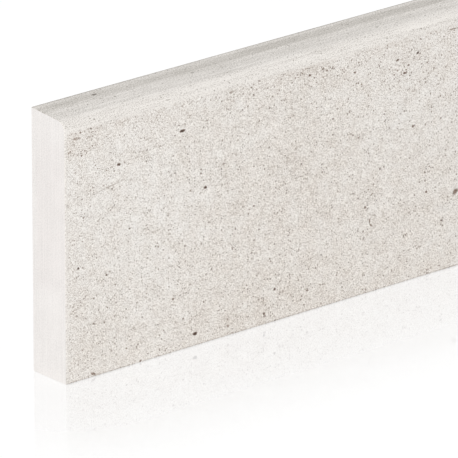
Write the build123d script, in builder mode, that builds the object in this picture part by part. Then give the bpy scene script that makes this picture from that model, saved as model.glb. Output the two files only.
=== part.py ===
from build123d import *
import os

# Porcelain skirting tile: one pressed and fired strip that covers the foot of a wall.
# It stands on its long lower edge, printed face to the room and keyed back to the wall.
# X runs along the wall, Y from the room to the wall and Z up, with the origin at the middle
# of the foot. Lengths are in millimetres and angles in degrees.

# Outer size of the strip
tile_length = 600.0
tile_height = 60.0
tile_thickness = 11.0

# Top edge: ground to fall a little towards the room, then rounded over into the face
top_fall = 0.8
nose_radius = 2.5

# Fine bevels where the fired edges are squared up
foot_bevel = 0.15
wall_bevel = 0.15
end_bevel = 0.15

# Keying on the back: shallow drafted pockets with cut corners, between flush ribs and
# inside a plain border
pocket_size = 14.5
pocket_rib = 2.5
pocket_depth = 0.7
pocket_draft = 30.0
pocket_corner = 2.0
pocket_rows = 3
end_border = 8.0

# Worked out from the sizes above
front = -tile_thickness / 2
back = tile_thickness / 2
pocket_pitch = pocket_size + pocket_rib
pocket_columns = int((tile_length - 2 * end_border + pocket_rib) // pocket_pitch)
keyed_length = pocket_columns * pocket_pitch - pocket_rib
keyed_height = pocket_rows * pocket_pitch - pocket_rib

# One end of the strip, and the back seen from the wall with its middle at half height
left_end_plane = Plane.YZ.offset(-tile_length / 2)
back_plane = Plane(origin=(0, back, tile_height / 2), x_dir=(-1, 0, 0), z_dir=(0, 1, 0))


with BuildPart() as skirting_tile:
    # The cross-section: square at the foot, sloped on top and rounded where top meets face
    with BuildSketch(left_end_plane) as section:
        with BuildLine() as outline:
            Polyline(
                (front, 0),
                (back, 0),
                (back, tile_height),
                (front, tile_height - top_fall),
                close=True,
            )
        make_face()
        room_corners = section.vertices().group_by(Axis.X)[0].sort_by(Axis.Y)
        fillet(room_corners[-1], radius=nose_radius)
        wall_corners = section.vertices().group_by(Axis.X)[-1].sort_by(Axis.Y)
        chamfer(wall_corners[-1], length=wall_bevel)
        foot_corners = section.vertices().group_by(Axis.Y)[0]
        chamfer(foot_corners, length=foot_bevel)
    extrude(amount=tile_length)

    # The sawn ends: a fine bevel along the face, the nose and the top, none at foot and wall
    left_end = skirting_tile.faces().sort_by(Axis.X)[0]
    right_end = skirting_tile.faces().sort_by(Axis.X)[-1]
    end_edges = left_end.edges() + right_end.edges()
    showing = end_edges.filter_by(
        lambda edge: edge.center().Z > foot_bevel and edge.center().Y < back - wall_bevel
    )
    chamfer(showing, length=end_bevel)

    # The keying, pressed into the back as a grid of pockets
    with BuildSketch(back_plane) as keying:
        with GridLocations(pocket_pitch, pocket_pitch, pocket_columns, pocket_rows):
            Rectangle(pocket_size, pocket_size)
        chamfer(keying.vertices(), length=pocket_corner)
    extrude(amount=-pocket_depth, taper=pocket_draft, mode=Mode.SUBTRACT)

skirting_tile.part.label = "skirting_tile"

os.makedirs("parts", exist_ok=True)
export_step(skirting_tile.part, "parts/skirting_tile.step")

print(f"keying: {pocket_columns} columns by {pocket_rows} rows, {keyed_length:.1f} by {keyed_height:.1f} mm")
print(f"volume: {skirting_tile.part.volume / 1000:.1f} cm3")
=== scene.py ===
import math

import bpy
import numpy as np
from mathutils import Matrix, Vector


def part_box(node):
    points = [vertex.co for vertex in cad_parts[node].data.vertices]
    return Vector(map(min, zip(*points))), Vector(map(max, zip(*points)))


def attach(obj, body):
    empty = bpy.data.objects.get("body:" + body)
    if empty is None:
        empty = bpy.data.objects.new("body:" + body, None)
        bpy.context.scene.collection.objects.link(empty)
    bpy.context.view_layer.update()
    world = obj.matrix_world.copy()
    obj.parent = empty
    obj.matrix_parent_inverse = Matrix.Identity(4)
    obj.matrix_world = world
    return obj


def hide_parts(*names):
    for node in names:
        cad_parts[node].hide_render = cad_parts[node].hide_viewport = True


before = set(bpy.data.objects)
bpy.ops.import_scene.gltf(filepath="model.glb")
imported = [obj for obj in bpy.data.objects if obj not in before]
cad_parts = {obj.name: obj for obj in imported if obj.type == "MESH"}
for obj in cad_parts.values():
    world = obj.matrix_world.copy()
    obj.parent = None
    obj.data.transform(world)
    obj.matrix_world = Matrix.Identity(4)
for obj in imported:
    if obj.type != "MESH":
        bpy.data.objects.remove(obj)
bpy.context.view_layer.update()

nodeName = "skirting_tile"
nodeLow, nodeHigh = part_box(nodeName)
metresPerMm = 0.001


# The size of the strip comes from its part in model.glb, in millimetres; the rest of its section is set here.
tile = {
    "length": (nodeHigh[0] - nodeLow[0]) / metresPerMm,
    "thickness": (nodeHigh[1] - nodeLow[1]) / metresPerMm,
    "height": (nodeHigh[2] - nodeLow[2]) / metresPerMm,
    "topFall": 0.8,          # the ground top falls this much towards the room
    "noseRadius": 2.5,
    "wallBevel": 0.15,
    "footBevel": 0.15,
    "endBevel": 0.15,
    "pocketSize": 14.5,      # keying on the back
    "pocketRib": 2.5,
    "pocketDepth": 0.7,
    "pocketDraft": 30.0,     # degrees
    "pocketCorner": 2.0,
    "pocketRows": 3,
    "pocketColumns": 34,
    "pocketFloorLines": 5,   # mesh lines over the floor of a pocket
    "borderStep": 1.2,       # mesh spacing on the plain border of the back
    "noseSteps": 9,
    "topSteps": 8,
    "creaseAngle": 28.0,     # degrees; edges sharper than this stay crisp
    "waviness": 0.03,        # how far firing lets the face wander from flat
    "waveSize": 45.0,
    "chipDepth": 0.05,       # largest nibble out of a sawn arris
    "chipSize": 2.4,
    "chipRarity": 0.35,      # height of the random surface below which nothing is nibbled
    "waveCount": 40,         # cosine waves in each random surface
    "seed": 7,
}
tile["leftEnd"] = nodeLow[0] / metresPerMm
tile["front"] = nodeLow[1] / metresPerMm
tile["back"] = nodeHigh[1] / metresPerMm


def keyingLines(count, span):
    # Grid lines across `count` pockets centred in `span`: two on each drafted wall, two at each cut
    # corner, an even few over the floor of the pocket and one on the rib, then even lines on the border.
    wall = tile["pocketDepth"] * math.tan(math.radians(tile["pocketDraft"]))
    corner, size, pitch = tile["pocketCorner"], tile["pocketSize"], tile["pocketSize"] + tile["pocketRib"]
    nearRim = np.array([0.0, wall, corner / 2, corner])
    floor = np.linspace(corner, size - corner, tile["pocketFloorLines"] + 2)[1:-1]
    oneCell = np.concatenate([nearRim, floor, size - nearRim[::-1], [size + tile["pocketRib"] / 2]])
    keyed = count * pitch - tile["pocketRib"]
    border = (span - keyed) / 2
    starts = border + pitch * np.arange(count)
    cells = np.add.outer(starts, oneCell).ravel()[:-1]
    steps = max(2, round(border / tile["borderStep"]))
    before = np.linspace(0, border, steps, endpoint=False)
    return np.concatenate([before, cells, span - before[::-1]])


def pocketDepthAt(along, up):
    # Depth of the keying at a place on the back: the distance in from the nearest rim, with the corner
    # cut at 45 degrees, times the slope of the drafted wall, and never more than the full depth.
    pitch = tile["pocketSize"] + tile["pocketRib"]
    half = tile["pocketSize"] / 2

    def fromCentre(place, count, span):
        first = (span - (count * pitch - tile["pocketRib"])) / 2 + half
        cell = np.clip(np.round((place - first) / pitch), 0, count - 1)
        return np.abs(place - first - cell * pitch)

    acrossX = fromCentre(along, tile["pocketColumns"], tile["length"])
    acrossZ = fromCentre(up, tile["pocketRows"], tile["height"])
    fromWalls = half - np.maximum(acrossX, acrossZ)
    fromCut = (2 * half - tile["pocketCorner"] - acrossX - acrossZ) / math.sqrt(2)
    inside = np.minimum(fromWalls, fromCut)
    return np.clip(inside / math.tan(math.radians(tile["pocketDraft"])), 0, tile["pocketDepth"])


def tileSection(heightLines):
    # The outline of the strip's section, anticlockwise seen from its left end: foot, back, top, nose,
    # face. The nose is an arc that touches both the sloped top and the upright face.
    front, back, height = tile["front"], tile["back"], tile["height"]
    slope = math.atan2(tile["topFall"], tile["thickness"])
    turn = math.pi / 2 - slope
    reach = tile["noseRadius"] * math.tan(turn / 2)
    arcCentre = np.array([front + tile["noseRadius"], height - tile["topFall"] - reach])
    footBevel, wallBevel = tile["footBevel"], tile["wallBevel"]
    acrossSteps = 1 + tile["topSteps"] + tile["noseSteps"]

    footY = np.concatenate([[front], np.linspace(front + footBevel, back - footBevel, acrossSteps - 1)])
    footZ = np.where(np.arange(acrossSteps) == 0, footBevel, 0.0)
    foot = np.stack([footY, footZ], 1)

    backZ = np.clip(heightLines, footBevel, height - wallBevel)
    rise = np.stack([np.full_like(backZ, back), backZ], 1)[:-1]

    wallTop = height - wallBevel * math.tan(slope)
    noseTop = arcCentre + tile["noseRadius"] * np.array([-math.cos(turn), math.sin(turn)])
    topStart = np.array([[back, height - wallBevel]])
    topRun = np.linspace([back - wallBevel, wallTop], noseTop, tile["topSteps"], endpoint=False)
    angle = np.linspace(turn, 0, tile["noseSteps"], endpoint=False)
    nose = arcCentre + tile["noseRadius"] * np.stack([-np.cos(angle), np.sin(angle)], 1)

    faceZ = np.linspace(arcCentre[1], footBevel, len(heightLines))[:-1]
    face = np.stack([np.full_like(faceZ, front), faceZ], 1)

    runs = {"foot": foot, "back": rise, "top": np.concatenate([topStart, topRun]), "nose": nose, "face": face}
    names = np.concatenate([np.full(len(points), name) for name, points in runs.items()])
    return np.concatenate(list(runs.values())), names


def smoothWander(places, size, rng):
    # A smooth random height, nearly always from -1 to 1: a sum of cosine waves of about the given size,
    # with random directions and phases, divided by two and a half times its own spread.
    count = tile["waveCount"]
    directions = rng.normal(size=(count, places.shape[-1]))
    directions *= (2 * math.pi / size) * rng.uniform(0.5, 1.4, (count, 1)) / np.linalg.norm(
        directions, axis=1, keepdims=True)
    phases = rng.uniform(0, 2 * math.pi, count)
    waves = np.cos(places @ directions.T + phases)
    return waves.sum(-1) * math.sqrt(2 / count) / 2.5


def stripLoops(alongLines, section, runNames):
    # The section carried along the length, one loop of points for each grid line. Points move into the
    # body, square to the section's outline, by the end bevel, by small nibbles along the two sawn
    # arrises and by the wander of the fired face. Those of the back move in by the depth of the keying.
    rng = np.random.default_rng(tile["seed"])
    points = np.zeros((len(alongLines), len(section), 3))
    points[..., 0] = (tile["leftEnd"] + alongLines)[:, None]
    points[..., 1:] = section[None]

    tangent = np.roll(section, -1, 0) - np.roll(section, 1, 0)        # between each point's neighbours
    inward = np.stack([-tangent[:, 1], tangent[:, 0]], 1)
    inward /= np.linalg.norm(inward, axis=1, keepdims=True)

    shows = np.isin(runNames, ["nose", "face"]) | ((runNames == "top") & (section[:, 0] < tile["back"]))
    shows[0] = True                      # the face's lowest point starts the foot run
    fromEnd = np.minimum(alongLines, tile["length"] - alongLines)
    bevelIn = np.clip(tile["endBevel"] - fromEnd, 0, None)[:, None] * shows

    nibble = np.clip(smoothWander(points, tile["chipSize"], rng) - tile["chipRarity"], 0, 1)
    nibble *= tile["chipDepth"] * (fromEnd <= tile["endBevel"])[:, None] * shows
    wander = (0.5 + 0.5 * smoothWander(points, tile["waveSize"], rng).clip(-1, 1)) * tile["waviness"]
    wander *= np.isin(runNames, ["face", "nose", "top"]) & shows
    points[..., 1:] += inward[None] * (bevelIn + nibble + wander)[..., None]

    onBack = runNames == "back"
    points[..., 1] -= pocketDepthAt(alongLines[:, None], section[None, :, 1]) * onBack
    return points


def endCap(points, endColumn, up, firstNew):
    # A cap over one end: straight rungs run up from the foot's points to the top's, and the points on a
    # rung have heights blended from the face's to the back's. The rim is made of the loop's own points;
    # those inside are new, and are numbered from firstNew.
    around = points.shape[1]
    across = tile["topSteps"] + tile["noseSteps"] + 1
    footIds = np.arange(across + 1)
    topIds = across + up + np.arange(across, -1, -1)
    faceIds = (around - np.arange(up + 1)) % around
    backIds = across + np.arange(up + 1)

    loop = points[endColumn]
    share = np.linspace(0, 1, across + 1)[:, None]
    faceRise = (loop[faceIds, 2] - loop[faceIds[0], 2]) / np.ptp(loop[faceIds, 2])
    backRise = (loop[backIds, 2] - loop[backIds[0], 2]) / np.ptp(loop[backIds, 2])
    rise = ((1 - share) * faceRise + share * backRise)[..., None]
    grid = loop[footIds][:, None] * (1 - rise) + loop[topIds][:, None] * rise

    base = endColumn * around
    ids = np.zeros((across + 1, up + 1), int)
    ids[1:-1, 1:-1] = firstNew + np.arange((across - 1) * (up - 1)).reshape(across - 1, up - 1)
    ids[:, 0], ids[:, -1] = base + footIds, base + topIds
    ids[0], ids[-1] = base + faceIds, base + backIds
    quads = np.stack([ids[:-1, :-1], ids[:-1, 1:], ids[1:, 1:], ids[1:, :-1]], -1).reshape(-1, 4)
    if endColumn > 0:
        quads = quads[:, ::-1]           # the right end faces the other way
    return grid[1:-1, 1:-1].reshape(-1, 3), quads


def buildTile():
    # The loops joined by quads along the strip, and a cap at each end. Every quad keeps the name of its
    # run of the section and the places of its corners on the texture map.
    length = tile["length"]
    bevelLines = tile["endBevel"] * np.array([0.0, 0.35, 1.0])
    inner = keyingLines(tile["pocketColumns"], length)[1:-1]
    alongLines = np.concatenate([bevelLines, inner, length - bevelLines[::-1]])
    heightLines = keyingLines(tile["pocketRows"], tile["height"])
    section, runNames = tileSection(heightLines)
    points = stripLoops(alongLines, section, runNames)
    columns, around = points.shape[:2]

    ids = np.arange(columns * around).reshape(columns, around)
    following = np.roll(ids, -1, 1)
    sideQuads = np.stack([ids[:-1], following[:-1], following[1:], ids[1:]], -1).reshape(-1, 4)
    quadRuns = runNames.copy()
    quadRuns[0] = "face"                 # the fine bevel under the face carries the glaze too
    sideRuns = np.broadcast_to(quadRuns, (columns - 1, around)).ravel()

    up = len(heightLines) - 1
    leftPoints, leftQuads = endCap(points, 0, up, columns * around)
    rightPoints, rightQuads = endCap(points, columns - 1, up, columns * around + len(leftPoints))
    capQuads = np.concatenate([leftQuads, rightQuads])

    vertices = np.concatenate([points.reshape(-1, 3), leftPoints, rightPoints]) * metresPerMm
    quads = np.concatenate([sideQuads, capQuads])
    names = np.concatenate([sideRuns, np.full(len(capQuads), "end")])
    sides = sidePlaces(sideQuads, alongLines, section, np.argmax(runNames == "top"))
    places = np.concatenate([sides, capPlaces(vertices[capQuads] / metresPerMm)])
    return vertices, quads, names, places / textureMap["side"]


# Where each part of the skin lies on the strip's texture map. The face, the nose and the top take most
# of it, in panels one above the other; the back and the foot stand in a narrow column on the right, and
# the two ends lie in the bottom row. Sizes are in map pixels and pixels per millimetre.
textureMap = {
    "side": 1024.0,
    "gap": 8.0,
    "panels": 3,
    "frontScale": 4.4,
    "rearScale": 1.66,
}


def sidePlaces(sideQuads, alongLines, section, topStart):
    # Map places of the long sides: length along the strip one way and arc length round the section the
    # other way, each times its scale. The arc is counted from the first point behind the lower bevel.
    # The front is cut into equal panels along the length, stacked upwards; the rest is one column.
    around = len(section)
    steps = np.linalg.norm(np.roll(section, -1, 0) - section, axis=1)
    arc = np.concatenate([[0.0], np.cumsum(np.roll(steps, -1))])      # at points 1, 2, ... and 1 again
    number = (sideQuads % around - 1) % around
    startsAt = number[:, :1]                                          # the quad's own first point
    arcAt = arc[np.where((number == 0) & (startsAt != 0), around, number)]
    alongAt = alongLines[sideQuads // around]

    frontFrom = arc[topStart - 1]
    onFront = startsAt >= topStart - 1
    gap, scale, rear = textureMap["gap"], textureMap["frontScale"], textureMap["rearScale"]
    panelLength = tile["length"] / textureMap["panels"]
    panelRise = (arc[-1] - frontFrom) * scale + gap
    panel = np.floor(alongAt.mean(1, keepdims=True) / panelLength)
    bottom = gap * 2 + tile["thickness"] * scale
    front = np.stack([gap + (alongAt - panel * panelLength) * scale,
                      bottom + panel * panelRise + (arcAt - frontFrom) * scale], -1)
    column = gap * 2 + panelLength * scale
    back = np.stack([column + arcAt * rear, gap + alongAt * rear], -1)
    return np.where(onFront[..., None], front, back)


def capPlaces(corners):
    # Map places of the two ends, lying one after the other in the bottom row: height runs along the
    # row and depth from the face runs up it, each times the scale.
    scale = textureMap["frontScale"]
    isRight = (corners[..., 0] > 0)[..., None]
    across = np.stack([corners[..., 2], corners[..., 1] - tile["front"]], -1) * scale + textureMap["gap"]
    return across + isRight * np.array([tile["height"] * scale + textureMap["gap"], 0.0])


def meshObject(name, vertices, quads, places=None):
    # Quads from whole arrays, with a texture map where places are given.
    mesh = bpy.data.meshes.new(name)
    mesh.vertices.add(len(vertices))
    mesh.vertices.foreach_set("co", vertices.ravel())
    mesh.loops.add(quads.size)
    mesh.loops.foreach_set("vertex_index", quads.ravel())
    mesh.polygons.add(len(quads))
    mesh.polygons.foreach_set("loop_start", np.arange(0, quads.size, 4))
    mesh.polygons.foreach_set("loop_total", np.full(len(quads), 4))
    if places is not None:
        mesh.uv_layers.new(name="OFBake").data.foreach_set("uv", places.ravel())
    mesh.update(calc_edges=True)
    piece = bpy.data.objects.new(name, mesh)
    bpy.context.collection.objects.link(piece)
    return piece


vertices, quads, faceRuns, mapPlaces = buildTile()
skirting = meshObject("fired_strip", vertices, quads, mapPlaces)
skirting.data.polygons.foreach_set("use_smooth", np.ones(len(quads), bool))
skirting.data.set_sharp_from_angle(angle=math.radians(tile["creaseAngle"]))
print("strip: %d points, %d quads, map from %.3f to %.3f" % (
    len(vertices), len(quads), mapPlaces.min(), mapPlaces.max()))
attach(skirting, "root")
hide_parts(nodeName)


# Colours and grain are worked out in photograph levels, 0 to 255, so they can be matched.
# Each table gives the material's own colour at a level.
printTones = [(50, "443227"), (85, "685144"), (110, "7d695c"), (150, "a2958b"), (181, "bdb4ac"),
              (202, "cfc9c3"), (218, "dedad4"), (228, "e7e4e0"), (250, "faf7f3")]
groundTones = [(90, "6f665c"), (150, "9b948b"), (185, "bdb8b0"), (195, "c7c2bb"), (206, "d2cdc6"),
               (216, "dcd7d1"), (226, "e6e1dc"), (240, "f4f0ea")]
sawnTones = [(200, "cbc8c4"), (222, "e1ddda"), (238, "f1edea"), (250, "fdf9f6")]
keyedTones = [(140, "9a8c7e"), (190, "c7bdb1"), (212, "dcd4c9"), (224, "e6e0d7"), (240, "f4f0ea")]


def linearColour(hexCode):
    # From sRGB hex to the linear values that the shaders use.
    levels = [int(hexCode[i:i + 2], 16) / 255 for i in (0, 2, 4)]
    return [v / 12.92 if v <= 0.04045 else ((v + 0.055) / 1.055) ** 2.4 for v in levels] + [1.0]


def addNode(tree, kind, inputs=None, out=0, stops=None, **settings):
    # One node with its settings and links. inputs maps a socket to a value or to another node's
    # output, stops fills a colour ramp with (position, hex colour) pairs, and out says which output
    # comes back, by name or number, or all of them for None.
    node = tree.nodes.new("ShaderNode" + kind)
    for name, value in settings.items():
        setattr(node, name, value)
    for key, value in (inputs or {}).items():
        if isinstance(value, bpy.types.NodeSocket):
            tree.links.new(value, node.inputs[key])
        else:
            node.inputs[key].default_value = value
    if stops:
        elements = node.color_ramp.elements
        while len(elements) < len(stops):
            elements.new(1.0)
        for element, (position, hexCode) in zip(elements, stops):
            element.position, element.color = position, linearColour(hexCode)
    if out is None:
        return node.outputs
    return node.outputs[out] if node.outputs else None


def newMaterial(name):
    material = bpy.data.materials.new(name)
    material.use_nodes = True
    tree = material.node_tree
    tree.nodes.clear()
    return material, tree


def millimetres(tree):
    # Object coordinates in millimetres, so every pattern's scale is one over a real size.
    place = addNode(tree, "TexCoord", out="Object")
    return addNode(tree, "VectorMath", {0: place, "Scale": 1 / metresPerMm}, operation="SCALE")


def unrolled(tree, place):
    # The face, the nose and the top laid out flat: along = x, and up = z + (y - front). On the face up
    # is the height; on the top it goes on growing towards the wall.
    split = addNode(tree, "SeparateXYZ", {0: place}, out=None)
    up = addNode(tree, "Math", {0: split["Y"], 1: split["Z"]}, operation="ADD")
    up = addNode(tree, "Math", {0: up, 1: -tile["front"]}, operation="ADD")
    flat = addNode(tree, "CombineXYZ", {0: split["X"], 1: up})
    return flat, up


def total(tree, terms):
    # The sum of several levels.
    running = terms[0]
    for term in terms[1:]:
        running = addNode(tree, "Math", {0: running, 1: term}, operation="ADD")
    return running


def ramp(tree, value, low, high, atLow, atHigh):
    # A smooth step from one level to another while the value goes from low to high.
    return addNode(tree, "MapRange", {"Value": value, "From Min": low, "From Max": high, "To Min": atLow,
                                      "To Max": atHigh}, interpolation_type="SMOOTHSTEP")


def grain(tree, place, size, swing, detail=2.0, roughness=0.6, stretch=(1, 1, 1), shift=0.0):
    # Noise of one grain size in millimetres, as levels about zero; stretch draws it out along an axis
    # and shift takes it from another part of the noise.
    scaled = addNode(tree, "VectorMath", {0: place, 1: [1 / (size * s) for s in stretch], 2: (shift,) * 3},
                     operation="MULTIPLY_ADD")
    noise = addNode(tree, "TexNoise", {"Vector": scaled, "Scale": 1.0, "Detail": detail,
                                       "Roughness": roughness})
    return addNode(tree, "Math", {0: noise, 1: 2 * swing, 2: -swing}, operation="MULTIPLY_ADD")


def ragged(tree, place, size, reach):
    # The same places pushed about by up to `reach` millimetres, so that round marks become irregular.
    push = addNode(tree, "TexNoise", {"Vector": place, "Scale": 1 / size, "Detail": 1.0}, out="Color")
    push = addNode(tree, "VectorMath", {0: push, 1: (0.5, 0.5, 0.5)}, operation="SUBTRACT")
    return addNode(tree, "VectorMath", {0: push, 1: (2 * reach,) * 3, 2: place}, operation="MULTIPLY_ADD")


def distanceOutside(tree, place, reach):
    # How far a place lies outside a box round the origin: the length of what is left of its distances
    # along the axes once the box's reach is taken off, where that is above zero.
    mirrored = addNode(tree, "VectorMath", {0: place}, operation="ABSOLUTE")
    outside = addNode(tree, "VectorMath", {0: mirrored, 1: reach}, operation="SUBTRACT")
    outside = addNode(tree, "VectorMath", {0: outside, 1: (0, 0, 0)}, operation="MAXIMUM")
    return addNode(tree, "VectorMath", {0: outside}, out="Value", operation="LENGTH")


def specks(tree, flat, cell, radius, depth, rarity, shift=0.0, crowd=None, edge=0.04):
    # One dot in each cell of a flat Voronoi pattern. Its radius is the largest one times a random
    # number to the power `rarity`, so most dots are tiny, and its level is 0.4 to 1 times the depth.
    # crowd, about 1, thins the dots out in places; edge is how soft they are, in millimetres.
    moved = addNode(tree, "VectorMath", {0: flat, 1: (shift, shift, 0)}, operation="ADD")
    voronoi = addNode(tree, "TexVoronoi", {"Vector": moved, "Scale": 1 / cell}, out=None,
                      voronoi_dimensions="2D")
    chance = addNode(tree, "SeparateColor", {0: voronoi["Color"]}, out=None)
    size = addNode(tree, "Math", {0: chance["Red"], 1: rarity}, operation="POWER")
    if crowd is not None:
        size = addNode(tree, "Math", {0: size, 1: crowd}, operation="MULTIPLY")
    size = addNode(tree, "Math", {0: size, 1: radius / cell}, operation="MULTIPLY")
    inside = addNode(tree, "Math", {0: size, 1: voronoi["Distance"]}, operation="SUBTRACT")
    cover = addNode(tree, "Math", {0: inside, 1: cell / edge}, operation="MULTIPLY", use_clamp=True)
    weight = addNode(tree, "Math", {0: chance["Green"], 1: 0.6 * depth, 2: 0.4 * depth},
                     operation="MULTIPLY_ADD")
    return addNode(tree, "Math", {0: cover, 1: weight}, operation="MULTIPLY")


def threads(tree, flat, size, width, depth, shift=0.0):
    # Thin wandering lines where a noise crosses its middle value, kept only where a broader noise is
    # high, so that they come as short pieces.
    moved = addNode(tree, "VectorMath", {0: flat, 1: (shift, 0, shift)}, operation="ADD")
    noise = addNode(tree, "TexNoise", {"Vector": moved, "Scale": 1 / size, "Detail": 1.0})
    offLine = addNode(tree, "Math", {0: noise, 1: -0.5}, operation="ADD")
    offLine = addNode(tree, "Math", {0: offLine}, operation="ABSOLUTE")
    line = ramp(tree, offLine, 0.0, width, depth, 0.0)
    broad = addNode(tree, "TexNoise", {"Vector": moved, "Scale": 0.6 / size, "Detail": 2.0})
    return addNode(tree, "Math", {0: line, 1: ramp(tree, broad, 0.5, 0.62, 0.0, 1.0)}, operation="MULTIPLY")


def placedMarks(tree, flat, marks, soft=0.35):
    # Marks put at listed places on the tile. Each is an ellipse (along, up, half length, half
    # height, turn in degrees, levels) in unrolled millimetres from the left end and the foot: a place is
    # turned and divided by the half sizes, and the level fades out where its length passes 1. Each mark
    # is added as soon as it is made, which keeps the shader small enough for the renderer.
    levels = None
    for along, up, halfLength, halfHeight, turn, depth in marks:
        local = addNode(tree, "Mapping", {"Vector": flat, "Location": (tile["leftEnd"] + along, up, 0),
                                          "Rotation": (0, 0, math.radians(turn)),
                                          "Scale": (halfLength, halfHeight, 1)}, vector_type="TEXTURE")
        radius = addNode(tree, "VectorMath", {0: local}, out="Value", operation="LENGTH")
        mark = ramp(tree, radius, 1 - soft, 1 + soft, depth, 0.0)
        levels = mark if levels is None else addNode(tree, "Math", {0: levels, 1: mark}, operation="ADD")
    return levels


def toneColour(tree, levels, tones):
    # Turns a level into the material's own colour at that level.
    low, high = tones[0][0], tones[-1][0]
    position = addNode(tree, "MapRange", {"Value": levels, "From Min": low, "From Max": high})
    stops = [((level - low) / (high - low), hexCode) for level, hexCode in tones]
    return addNode(tree, "ValToRGB", {"Fac": position}, stops=stops)


def tinted(tree, colour, hexCode, share):
    # The colour times another, by a share from 0 to 1. Sockets 6 and 7 are the two colours.
    return addNode(tree, "Mix", {"Factor": share, 6: colour, 7: linearColour(hexCode)}, out=2,
                   data_type="RGBA", blend_type="MULTIPLY")


def finishMaterial(tree, colour, roughness, height, heightMm):
    # 1.5 is the index of fired feldspar glass, which binds the body and makes the glaze.
    bump = addNode(tree, "Bump", {"Height": height, "Strength": 1.0, "Distance": heightMm * metresPerMm})
    shader = addNode(tree, "BsdfPrincipled", {"Base Color": colour, "Roughness": roughness, "IOR": 1.5,
                                              "Normal": bump})
    addNode(tree, "OutputMaterial", {"Surface": shader})


# The ground edge: porcelain body cut by grinding wheels that ran along the strip, then dressed matt.
# Places across it are unrolled heights: the nose runs from 56.9 to 61.7 and the top on to the wall.
ground = {
    # painted shade: the top's level sits below the nose's, drawn darker because less light falls on it
    "level": 217.0,
    "noseLevel": 228.5, "noseFade": (62.0, 60.7),
    "bandLevel": -20.0,      # darker band near the wall
    "bandRoomSide": (66.0, 67.1), "bandWallSide": (68.8, 70.1),
    "wallLevel": -38.0, "wallFade": (70.3, 70.7),        # the edge at the wall, darker still
    "rimLevel": -6.0, "rimFade": (69.3, 70.2),           # the stretch before it, a touch greyer too
    "driftSize": 9.0, "driftSwing": 0.8,                 # mm by which these bands wander
    "streakWidth": 0.5, "streakLength": 30.0, "streakSwing": 32.0,   # scratches, drawn coarse to show
    "patchSize": 4.0, "patchSwing": 18.0,
    "grainSize": 0.3, "grainSwing": 55.0,                # the body's grain, drawn coarse to show
    "dots": (1.1, 0.24, -68.0, 2.5),                     # cell, largest radius, levels, rarity
    "roughness": 0.5, "reliefSize": 0.3, "reliefStretch": 12, "reliefDepth": 0.012,
    "marks": [               # along, up, half length, half height, turn, levels
        (15.3, 68.5, 0.6, 0.35, 0, -115.0),
        (40.7, 65.9, 0.4, 0.3, 0, -50.0),
        (18.3, 64.9, 0.35, 0.35, 0, -40.0),
        (15.1, 65.8, 0.4, 0.3, 0, -30.0),
        (23.5, 64.7, 0.4, 0.3, 0, -20.0),
        (8.4, 58.4, 0.3, 0.2, 0, -45.0),
        (28.7, 58.0, 0.5, 0.15, -15, -45.0),
        (91.0, 63.0, 0.4, 0.3, 20, -45.0),
        (80.0, 66.6, 45.0, 3.4, 0, -5.0),
        (8.0, 66.0, 12.0, 0.6, 0, -6.0),
    ],
}


def groundLevels(tree, flat, up):
    # Levels of the ground edge: the tone of the nose, the top drawn darker as painted shade, the dark
    # band near the wall, streaks along the strip, soft patches, fine grain and a few specks.
    drift = grain(tree, flat, ground["driftSize"], ground["driftSwing"], stretch=(3, 1, 1))
    across = addNode(tree, "Math", {0: up, 1: drift}, operation="ADD")
    # painted shade: the top's lower level against the nose's
    tone = ramp(tree, across, *ground["noseFade"], ground["level"], ground["noseLevel"])
    band = ramp(tree, across, *ground["bandRoomSide"], 0.0, ground["bandLevel"])
    past = ramp(tree, across, *ground["bandWallSide"], 0.0, -ground["bandLevel"])
    return total(tree, [
        tone, band, past,
        ramp(tree, up, *ground["wallFade"], 0.0, ground["wallLevel"]),
        ramp(tree, up, *ground["rimFade"], 0.0, ground["rimLevel"]),
        grain(tree, flat, ground["streakWidth"], ground["streakSwing"], detail=3.0,
              stretch=(ground["streakLength"] / ground["streakWidth"], 1, 1)),
        grain(tree, flat, ground["patchSize"], ground["patchSwing"], stretch=(1.6, 0.6, 1)),
        grain(tree, flat, ground["grainSize"], ground["grainSwing"], detail=0.0),
        specks(tree, flat, *ground["dots"]),
        placedMarks(tree, flat, ground["marks"]),
    ])


def groundEdgeMaterial():
    # Matt, slightly silky; the streaks give the eye the direction of the grinding.
    material, tree = newMaterial("porcelain_ground_edge")
    flat, up = unrolled(tree, millimetres(tree))
    levels = groundLevels(tree, flat, up)
    relief = grain(tree, flat, ground["reliefSize"], 0.5, stretch=(ground["reliefStretch"], 1, 1))
    colour = toneColour(tree, levels, groundTones)
    finishMaterial(tree, colour, ground["roughness"], relief, ground["reliefDepth"])
    return material


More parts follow.
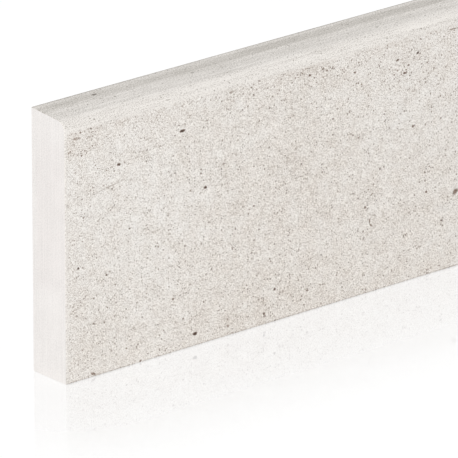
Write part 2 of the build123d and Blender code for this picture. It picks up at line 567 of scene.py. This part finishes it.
# The face: a matt glaze over a limestone print, fired with the body. The print stops short of the
# nose and of the sawn end, with a rounded corner.
printed = {
    "level": 224.4,
    "printTop": 57.0, "printEnd": 0.1, "printCorner": 1.9, "printFade": 0.8,
    "cloudSize": 30.0, "cloudSwing": 5.0,
    "mottleSize": 4.5, "mottleSwing": 12.0,
    "crowdBase": 0.8, "crowdSize": 3.0, "crowdSwing": 1.6, "crowdShade": -2.5,
    "coarseSize": 0.9, "coarseSwing": 1.0,
    "grainSize": 0.42, "grainSwing": 4.0,
    "fineSize": 0.2, "fineSwing": 77.0,                  # the print's own dots, drawn coarse to show
    "threadSize": 6.0, "threadWidth": 0.018, "threadDark": -17.0, "threadPale": 12.0,
    "raggedSize": 0.5, "raggedReach": 0.22,              # how uneven the outlines of dots and spots are
    "crowdedDots": (0.5, 0.165, -150.0, 2.1),            # cell, largest radius, levels, rarity
    "largeDots": (1.5, 0.23, -130.0, 2.8, 37.3),         # the same, and a shift to other places
    "paleDots": (0.8, 0.16, 50.0, 1.2, 91.7),
    "paintedFootShade": -34.0, "footFade": (0.1, 0.4),           # painted contact shade: a thin dark line along the lower arris
    "borderLine": -2.5, "borderFade": (54.0, 56.0),      # the print gathers a little at its upper border
    "edgeNoiseSize": 0.5, "edgeNoise": 0.7,
    "warmTint": "fffbf7", "warmRange": (11.0, -14.0),    # cloud levels from the cool to the warm
    "roughness": 0.58, "reliefRange": (-103.0, 17.0), "reliefDepth": 0.02,
    "clouds": [              # soft areas: along, up, half length, half height, turn, levels
        (14.0, 38.0, 24.0, 18.0, 10, 5.0),
        (4.0, 54.5, 5.5, 2.6, -4, -5.0),
        (58.0, 30.0, 20.0, 12.0, -8, -2.5),
        (62.0, 5.0, 20.0, 7.0, 0, -3.5),
        (101.0, 42.0, 15.0, 16.0, 0, 3.0),
        (25.0, 28.0, 9.0, 30.0, 0, 1.5),
    ],
    "spots": [               # dark spots: along, up, half length, half height, turn, levels
        (32.5, 50.0, 0.7, 0.3, 0, -180.0),
        (14.8, 46.5, 0.45, 0.3, 0, -180.0),
        (39.0, 35.6, 0.4, 0.3, -10, -180.0),
        (35.9, 2.8, 0.6, 0.35, 0, -180.0),
        (111.2, 17.6, 0.7, 0.5, 20, -110.0),
        (7.4, 0.7, 0.7, 0.3, -20, -100.0),
        (55.6, 2.5, 0.3, 0.3, 0, -150.0),
        (3.5, 25.7, 0.25, 0.25, 0, -180.0),
        (99.8, 52.5, 0.3, 0.25, 0, -180.0),
        (95.9, 48.7, 0.4, 0.2, 0, -150.0),
        (93.9, 52.1, 0.45, 0.2, 15, -150.0),
        (98.5, 35.7, 0.3, 0.25, 0, -150.0),
        (68.5, 54.4, 0.3, 0.2, 0, -150.0),
        (58.6, 7.5, 0.3, 0.3, 0, -150.0),
        (84.7, 20.2, 0.3, 0.25, 0, -120.0),
        (102.6, 19.5, 0.25, 0.3, 0, -120.0),
        (102.6, 49.7, 0.25, 0.2, 0, -150.0),
        (97.1, 50.3, 0.3, 0.15, 0, -120.0),
        (104.6, 47.9, 0.25, 0.15, 0, -120.0),
        (107.2, 11.8, 0.3, 0.2, 0, -150.0),
        (72.3, 55.0, 0.25, 0.2, 0, -120.0),
        (81.5, 52.1, 0.3, 0.2, 0, -100.0),
        (11.3, 22.3, 0.2, 0.2, 0, -150.0),
        (17.7, 31.3, 0.2, 0.2, 0, -150.0),
        (29.8, 12.3, 0.3, 0.2, 0, -120.0),
        (32.6, 7.0, 0.3, 0.2, 0, -120.0),
        (20.6, 0.4, 0.3, 0.2, 0, -120.0),
        (39.8, 22.8, 0.5, 0.3, 0, -40.0),
        (46.2, 55.6, 0.5, 0.3, 0, -60.0),
        (45.3, 2.2, 0.4, 0.3, 0, -70.0),
    ],
    "fineMarks": [           # small things near the corner, a hook and two dashes, with clean outlines
        (3.2, 55.0, 1.1, 0.3, -5, -50.0),
        (6.3, 56.4, 0.9, 0.15, 0, -20.0),
        (4.0, 56.7, 0.3, 0.15, -15, -150.0),
        (4.3, 56.1, 0.25, 0.2, 0, -120.0),
        (3.0, 56.2, 0.2, 0.15, 0, -70.0),
        (7.2, 56.4, 0.3, 0.2, -20, -150.0),
        (5.5, 56.1, 0.2, 0.15, 0, -60.0),
        (7.8, 55.6, 0.2, 0.1, 0, -90.0),
        (8.5, 55.4, 0.15, 0.15, 0, -90.0),
        (11.5, 53.6, 0.2, 0.15, 0, -90.0),
        (6.5, 52.0, 0.3, 0.1, 0, -60.0),
        (2.6, 53.7, 0.2, 0.15, 0, -60.0),
        (87.3, 17.7, 0.6, 0.15, -10, -55.0),
        (86.0, 16.6, 0.15, 0.6, 0, -110.0),
        (86.4, 17.3, 0.3, 0.1, 30, -70.0),
        (86.4, 15.6, 0.5, 0.15, -45, -110.0),
        (86.6, 22.7, 0.5, 0.15, 30, -95.0),
        (110.2, 55.7, 1.4, 0.15, 0, -70.0),
    ],
    "vein": [                # a thin line that forks
        (11.5, 42.0, 3.5, 0.15, 10, -34.0),
        (17.0, 43.1, 2.7, 0.15, 15, -20.0),
        (18.0, 42.4, 3.0, 0.2, 0, -17.0),
    ],
    "crowds": [              # where the dots stand closer
        (4.5, 55.3, 5.0, 1.3, 4, 0.3),
        (5.0, 51.6, 3.5, 0.8, 6, 0.1),
        (62.0, 53.0, 16.0, 3.0, 2, 0.3),
        (96.0, 50.0, 10.0, 4.0, 0, 0.3),
        (60.0, 7.0, 9.0, 4.0, 0, 0.25),
    ],
}


def printLevels(tree, flat, up):
    # Levels of the limestone print, from broad clouds down to single dots. The clouds come back on
    # their own too, because the darker clouds are also the warmer ones, and so does the grain, which
    # can be felt in the glaze.
    rough = ragged(tree, flat, printed["raggedSize"], printed["raggedReach"])
    uneven = grain(tree, flat, printed["crowdSize"], printed["crowdSwing"], detail=3.0)
    uneven = total(tree, [uneven, placedMarks(tree, flat, printed["crowds"], soft=0.5)])
    crowd = addNode(tree, "Math", {0: uneven, 1: printed["crowdBase"]}, operation="ADD")
    shade = addNode(tree, "Math", {0: uneven, 1: printed["crowdShade"]}, operation="MULTIPLY")
    clouds = total(tree, [
        shade,
        grain(tree, flat, printed["cloudSize"], printed["cloudSwing"]),
        grain(tree, flat, printed["mottleSize"], printed["mottleSwing"]),
        placedMarks(tree, flat, printed["clouds"], soft=0.9),
    ])
    grains = total(tree, [
        grain(tree, flat, printed["coarseSize"], printed["coarseSwing"], detail=1.0),
        grain(tree, flat, printed["grainSize"], printed["grainSwing"], detail=0.0, shift=5.1),
        grain(tree, flat, printed["fineSize"], printed["fineSwing"], detail=0.0, shift=8.3),
    ])
    fine = total(tree, [
        grains,
        threads(tree, rough, printed["threadSize"], printed["threadWidth"], printed["threadDark"]),
        threads(tree, rough, printed["threadSize"], printed["threadWidth"], printed["threadPale"],
                shift=13.7),
        specks(tree, rough, *printed["crowdedDots"], crowd=crowd),
        specks(tree, rough, *printed["largeDots"]),
        specks(tree, rough, *printed["paleDots"]),
        placedMarks(tree, rough, printed["spots"]),
        placedMarks(tree, flat, printed["fineMarks"]),
        placedMarks(tree, flat, printed["vein"], soft=0.7),
        # painted contact shade along the foot of the face
        ramp(tree, up, *printed["footFade"], printed["paintedFootShade"], 0.0),
        ramp(tree, up, *printed["borderFade"], 0.0, printed["borderLine"]),
    ])
    levels = total(tree, [clouds, fine])
    return addNode(tree, "Math", {0: levels, 1: printed["level"]}, operation="ADD"), clouds, grains


def printCover(tree, flat):
    # 1 on the print and 0 past its edge: the distance out of a rectangle with rounded corners, with a
    # little noise on it.
    radius = printed["printCorner"]
    halfPrint = tile["length"] / 2 - printed["printEnd"] - radius
    distance = distanceOutside(tree, flat, (halfPrint, printed["printTop"] - radius, 0))
    noise = grain(tree, flat, printed["edgeNoiseSize"], printed["edgeNoise"])
    distance = addNode(tree, "Math", {0: distance, 1: noise}, operation="ADD")
    return ramp(tree, distance, radius - printed["printFade"], radius, 1.0, 0.0)


def printedFaceMaterial():
    # Matt glaze: no clear highlight, and a fine grain that sits a hair lower where it is dark.
    material, tree = newMaterial("matt_glaze_limestone_print")
    flat, up = unrolled(tree, millimetres(tree))
    cover = printCover(tree, flat)
    onPrint, clouds, grains = printLevels(tree, flat, up)
    offPrint = groundLevels(tree, flat, up)
    cool, warm = printed["warmRange"]
    warmth = addNode(tree, "MapRange", {"Value": clouds, "From Min": cool, "From Max": warm})
    printColour = tinted(tree, toneColour(tree, onPrint, printTones), printed["warmTint"], warmth)
    groundColour = toneColour(tree, offPrint, groundTones)
    colour = addNode(tree, "Mix", {"Factor": cover, 6: groundColour, 7: printColour}, out=2,
                     data_type="RGBA")
    low, high = printed["reliefRange"]
    relief = addNode(tree, "MapRange", {"Value": grains, "From Min": low, "From Max": high})
    finishMaterial(tree, colour, printed["roughness"], relief, printed["reliefDepth"])
    return material


# The sawn ends and the foot: the bare fired body, cut by a wet saw.
sawn = {
    "level": 243.0,
    "markWidth": 0.35, "markLength": 22.0, "markSwing": 11.0,        # saw marks, drawn coarse to show
    "patchSize": 7.0, "patchSwing": 8.0,
    "grainSize": 0.3, "grainSwing": 26.0,
    "wallWidth": 1.3, "wallSoft": 0.4, "wallLevel": -2.0,            # a touch greyer next to the wall
    "rosyFrom": (14.0, 26.0), "rosyTo": (46.0, 54.0),    # heights between which the body is a little rosier
    "rosySize": 9.0, "rosySwing": 12.0, "rosyRest": 0.3, "rosyTint": "fcfbfb",
    "roughness": 0.6, "reliefDepth": 0.004,
}


def sawnBodyMaterial():
    # Nearly white and very even; faint upright saw marks are all the eye finds.
    material, tree = newMaterial("porcelain_body_sawn")
    place = millimetres(tree)
    split = addNode(tree, "SeparateXYZ", {0: place}, out=None)
    marks = grain(tree, place, sawn["markWidth"], sawn["markSwing"], detail=3.0,
                  stretch=(1, 1, sawn["markLength"] / sawn["markWidth"]))
    patches = grain(tree, place, sawn["patchSize"], sawn["patchSwing"])
    fine = grain(tree, place, sawn["grainSize"], sawn["grainSwing"])
    inner, soft = tile["back"] - sawn["wallWidth"], sawn["wallSoft"]
    away = ramp(tree, split["Y"], inner - soft, inner + soft, 1.0, 0.0)
    nearWall = ramp(tree, split["Y"], inner - soft, inner + soft, 0.0, sawn["wallLevel"])
    levels = total(tree, [marks, patches, fine, nearWall])
    levels = addNode(tree, "Math", {0: levels, 1: sawn["level"]}, operation="ADD")
    uneven = grain(tree, place, sawn["rosySize"], sawn["rosySwing"])
    height = addNode(tree, "Math", {0: split["Z"], 1: uneven}, operation="ADD")
    rosy = addNode(tree, "Math", {0: ramp(tree, height, *sawn["rosyFrom"], 0.0, 1.0),
                                  1: ramp(tree, height, *sawn["rosyTo"], 1.0, sawn["rosyRest"])},
                   operation="MULTIPLY")
    rosy = addNode(tree, "Math", {0: rosy, 1: away}, operation="MULTIPLY")
    colour = tinted(tree, toneColour(tree, levels, sawnTones), sawn["rosyTint"], rosy)
    finishMaterial(tree, colour, sawn["roughness"], marks, sawn["reliefDepth"])
    return material


# The back: the pressed body as it left the kiln, dusted with the white wash that keeps it from
# sticking to the rollers. The wash rubs off the ribs and stays in the pockets; here it lies in soft
# patches, and the pockets are drawn darker as painted shade.
keyed = {
    "level": 214.0,
    "washLift": 10.0, "washSize": 9.0, "washEdge": (0.45, 0.6),      # noise values where wash begins
    # painted shade: the pockets are drawn darker than the ribs
    "pocketPaintedShade": -6.0, "rimSoft": 0.1,
    "grainSize": 0.6, "grainSwing": 16.0,
    "rubSize": 2.2, "rubSwing": 10.0,
    "ironDots": (3.4, 0.4, -55.0, 4.0),                  # cell, largest radius, levels, rarity
    "raggedSize": 0.8, "raggedReach": 0.2,
    "roughness": 0.75, "reliefDepth": 0.004,
}


def keyedBackMaterial():
    # Chalky and dull, with soft white patches of wash and a few iron specks.
    material, tree = newMaterial("porcelain_body_keyed_back")
    place = millimetres(tree)
    split = addNode(tree, "SeparateXYZ", {0: place}, out=None)
    flat = addNode(tree, "CombineXYZ", {0: split["X"], 1: split["Z"]})
    # painted shade in the pockets, deepest on their floors
    paintedPocketShade = ramp(tree, split["Y"], tile["back"] - tile["pocketDepth"],
                    tile["back"] - keyed["rimSoft"], keyed["pocketPaintedShade"], 0.0)
    wash = addNode(tree, "TexNoise", {"Vector": place, "Scale": 1 / keyed["washSize"], "Detail": 4.0})
    fine = grain(tree, place, keyed["grainSize"], keyed["grainSwing"], detail=3.0)
    rough = ragged(tree, flat, keyed["raggedSize"], keyed["raggedReach"])
    levels = total(tree, [
        paintedPocketShade, fine,
        ramp(tree, wash, *keyed["washEdge"], 0.0, keyed["washLift"]),
        grain(tree, place, keyed["rubSize"], keyed["rubSwing"], detail=3.0),
        specks(tree, rough, *keyed["ironDots"]),
    ])
    levels = addNode(tree, "Math", {0: levels, 1: keyed["level"]}, operation="ADD")
    colour = toneColour(tree, levels, keyedTones)
    finishMaterial(tree, colour, keyed["roughness"], fine, keyed["reliefDepth"])
    return material


finishes = {
    "face": printedFaceMaterial(),
    "nose": groundEdgeMaterial(),
    "end": sawnBodyMaterial(),
    "back": keyedBackMaterial(),
}
slotOfRun = {"face": 0, "nose": 1, "top": 1, "end": 2, "foot": 2, "back": 3}
for material in finishes.values():
    skirting.data.materials.append(material)
faceSlots = np.zeros(len(quads), int)
for runName, slotNumber in slotOfRun.items():
    faceSlots[faceRuns == runName] = slotNumber
skirting.data.polygons.foreach_set("material_index", faceSlots)
print("materials: %s" % ", ".join(material.name for material in finishes.values()))


# The camera stands where the photograph's perspective puts it: turned to the left of the face,
# a little above, and far away through a long lens. Lengths are in metres.
view = {
    "azimuth": 40.506,       # degrees to the left of square on
    "elevation": 20.302,     # degrees above the floor
    "distance": 1.80533,     # from the foot of the near corner
    "aimRight": 0.03466,     # the frame's middle lies this far right of that corner
    "aimUp": 0.03325,        # and this far above it
    "focalPixels": 8469.0,
    "framePixels": 458.0,
    "sensor": 36.0,
}


def addCamera():
    # The corner lies off the middle of the frame by the two aims, and the lens has the photograph's
    # focal length in pixels, scaled to the sensor.
    turn, tilt = math.radians(view["azimuth"]), math.radians(view["elevation"])
    forward = Vector((math.sin(turn) * math.cos(tilt), math.cos(turn) * math.cos(tilt), -math.sin(tilt)))
    right = Vector((math.cos(turn), -math.sin(turn), 0))
    upward = right.cross(forward)
    corner = Vector((nodeLow[0], nodeLow[1], nodeLow[2]))
    lens = bpy.data.cameras.new("camera")
    lens.sensor_width = view["sensor"]
    lens.lens = view["sensor"] * view["focalPixels"] / view["framePixels"]
    camera = bpy.data.objects.new("camera", lens)
    camera.location = corner - forward * view["distance"] + right * view["aimRight"] + upward * view["aimUp"]
    camera.rotation_mode = "QUATERNION"
    camera.rotation_quaternion = forward.to_track_quat("-Z", "Y")
    bpy.context.collection.objects.link(camera)
    bpy.context.scene.camera = camera


addCamera()
print("camera set")


# Light: an even white room, one large soft lamp low on the left, near the camera's own side, and a
# faint one behind on the right. Irradiance is a share of what a white room of strength 1 gives.
light = {
    "room": 0.67,
    "keyAzimuth": 48.0, "keyElevation": 25.0, "keyShare": 0.33,
    "fillAzimuth": 215.0, "fillElevation": 40.0, "fillShare": 0.06,
    "lampDistance": 2.0, "lampSize": 0.9,                # metres
}
floor = {
    "halfSize": 12.0,        # metres
    "gap": 0.02,             # mm below the foot, so that the two surfaces don't share a plane
    "bounce": 0.9,           # what the floor gives back to the tile
    "seenWhite": 0.93,       # the camera sees this white, plus the lit share below, which holds the shadow
    "seenLit": 0.1,
    "mirror": 0.33,          # share of a mirror image next to the tile
    "mirrorFade": (10.0, 55.0),          # mm from the tile between which it dies away
    "mirrorRoughness": 0.02,
}


def addLamp(name, azimuth, elevation, share):
    # A square area lamp aimed at the middle of the foot. Its power is the share times the squares of
    # pi and of the distance.
    turn, tilt = math.radians(azimuth), math.radians(elevation)
    away = Vector((-math.sin(turn) * math.cos(tilt), -math.cos(turn) * math.cos(tilt), math.sin(tilt)))
    lamp = bpy.data.lights.new(name, "AREA")
    lamp.shape = "SQUARE"
    lamp.size = light["lampSize"]
    lamp.energy = share * math.pi ** 2 * light["lampDistance"] ** 2
    holder = bpy.data.objects.new(name, lamp)
    holder.location = away * light["lampDistance"]
    holder.rotation_mode = "QUATERNION"
    holder.rotation_quaternion = (-away).to_track_quat("-Z", "Y")
    bpy.context.collection.objects.link(holder)


def seenDirectly(tree):
    # 1 for what the camera sees, straight or by way of gloss or glass.
    path = addNode(tree, "LightPath", out=None)
    seen = addNode(tree, "Math", {0: path["Is Camera Ray"], 1: path["Is Glossy Ray"]}, operation="MAXIMUM")
    return addNode(tree, "Math", {0: seen, 1: path["Is Transmission Ray"]}, operation="MAXIMUM")


def addRoom():
    # White where the camera looks, and dimmer as the light that falls on the tile.
    world = bpy.data.worlds.new("white_room")
    world.use_nodes = True
    tree = world.node_tree
    tree.nodes.clear()
    strength = addNode(tree, "MapRange",
                       {"Value": seenDirectly(tree), "To Min": light["room"], "To Max": 1.0})
    background = addNode(tree, "Background", {"Color": (1, 1, 1, 1), "Strength": strength})
    addNode(tree, "OutputWorld", {"Surface": background})
    bpy.context.scene.world = world


def floorMaterial():
    # A white floor with a faint mirror image of what stands on it, as on a sheet of white acrylic.
    material, tree = newMaterial("white_floor")
    footReach = (tile["length"] / 2, tile["back"], tile["height"])
    distance = distanceOutside(tree, millimetres(tree), footReach)
    mirror = ramp(tree, distance, *floor["mirrorFade"], floor["mirror"], 0.0)
    bounce = addNode(tree, "BsdfDiffuse", {"Color": (floor["bounce"],) * 3 + (1,)})
    lit = addNode(tree, "BsdfDiffuse", {"Color": (floor["seenLit"],) * 3 + (1,)})
    white = addNode(tree, "Emission", {"Color": (1, 1, 1, 1), "Strength": floor["seenWhite"]})
    seen = addNode(tree, "AddShader", {0: lit, 1: white})
    gloss = addNode(tree, "BsdfAnisotropic", {"Color": (1, 1, 1, 1), "Roughness": floor["mirrorRoughness"]})
    seen = addNode(tree, "MixShader", {0: mirror, 1: seen, 2: gloss})
    surface = addNode(tree, "MixShader", {0: seenDirectly(tree), 1: bounce, 2: seen})
    addNode(tree, "OutputMaterial", {"Surface": surface})
    return material


def addFloor():
    half, drop = floor["halfSize"], -floor["gap"] * metresPerMm
    corners = np.array([[-half, -half, drop], [half, -half, drop], [half, half, drop], [-half, half, drop]])
    plane = meshObject("floor", corners, np.array([[0, 1, 2, 3]]))
    plane.data.materials.append(floorMaterial())


addRoom()
addLamp("key", light["keyAzimuth"], light["keyElevation"], light["keyShare"])
addLamp("fill", light["fillAzimuth"], light["fillElevation"], light["fillShare"])
addFloor()
bpy.context.scene.view_settings.view_transform = "Standard"
print("light and floor set")
